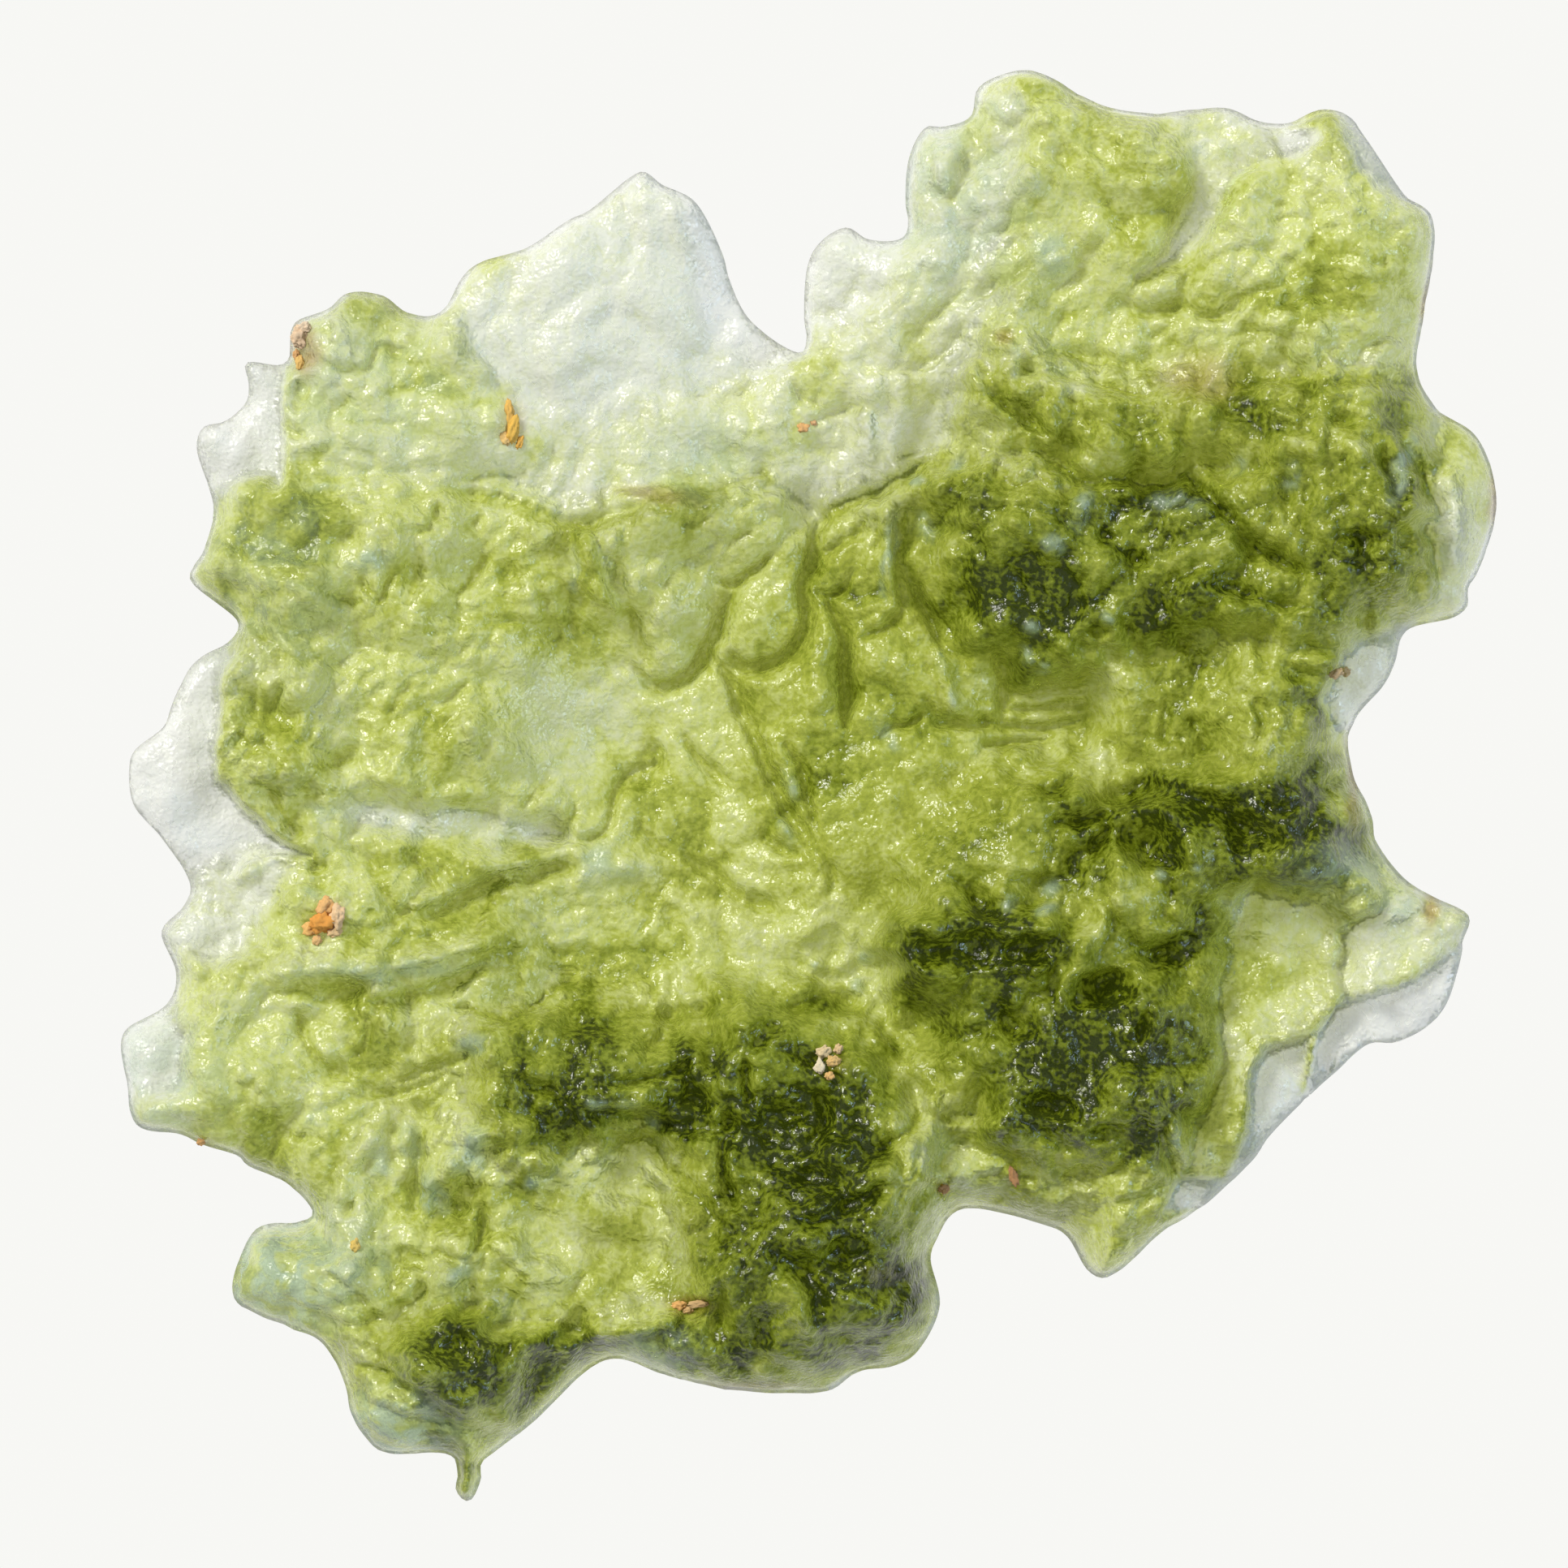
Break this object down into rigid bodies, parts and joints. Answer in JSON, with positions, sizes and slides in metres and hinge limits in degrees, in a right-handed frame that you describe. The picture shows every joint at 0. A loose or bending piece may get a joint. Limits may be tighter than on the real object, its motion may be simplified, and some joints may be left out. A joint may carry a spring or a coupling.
{
  "type": "moldavite",
  "caption": "Natural green glass stone: a jagged, deeply etched plate with thin notched edges and a thick olive body, lying with its broad face up.",
  "frame": {"origin": "middle of the stone's box seen from above, on the surface it rests on", "axes": "+Z out of the broad face, across the stone's thin way; +Y along its longest side, towards the two upper lobes; +X across it"},
  "size_m": [0.0288, 0.0298, 0.0071],
  "materials": {
    "moldavite_glass": "natural etched glass, olive green where thick and nearly clear at the thin edges"
  },
  "bodies": {
    "root": {"moldavite": "moldavite_glass"}
  },
  "joints": []
}
